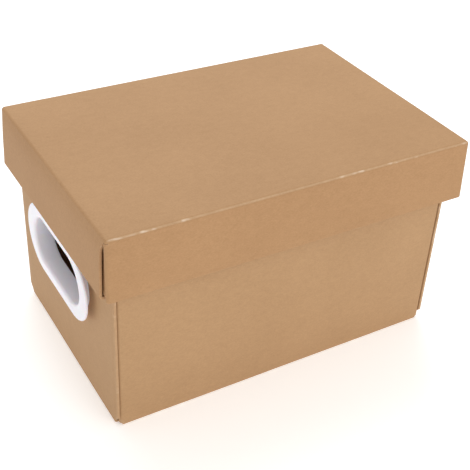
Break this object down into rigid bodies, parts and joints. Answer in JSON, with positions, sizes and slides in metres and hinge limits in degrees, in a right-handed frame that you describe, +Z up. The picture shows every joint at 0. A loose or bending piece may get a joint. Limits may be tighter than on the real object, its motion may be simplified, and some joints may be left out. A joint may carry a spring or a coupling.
{
  "type": "document box",
  "caption": "Brown card document box with a lift-off lid and a white moulded hand hole at each end.",
  "frame": {"origin": "middle of the base's footprint, on the surface that the box stands on", "axes": "+X along the long side towards the right end, -Y out of the front, +Z up"},
  "size_m": [0.3676, 0.243, 0.2125],
  "materials": {
    "board": "smooth brown liner with fine fibres, lightly worn along the folds",
    "moulding": "white moulded plastic with a soft gloss"
  },
  "bodies": {
    "base": {"box_base": "board", "left_handle_bezel": "moulding", "left_handle_ring": "moulding", "right_handle_bezel": "moulding", "right_handle_ring": "moulding"},
    "lid": {"lid": "board"}
  },
  "joints": [
    {"name": "lid_lift", "type": "slide", "parent": "base", "child": "lid", "axis": [0, 0, 1], "range_m": [0, 0.12]}
  ]
}
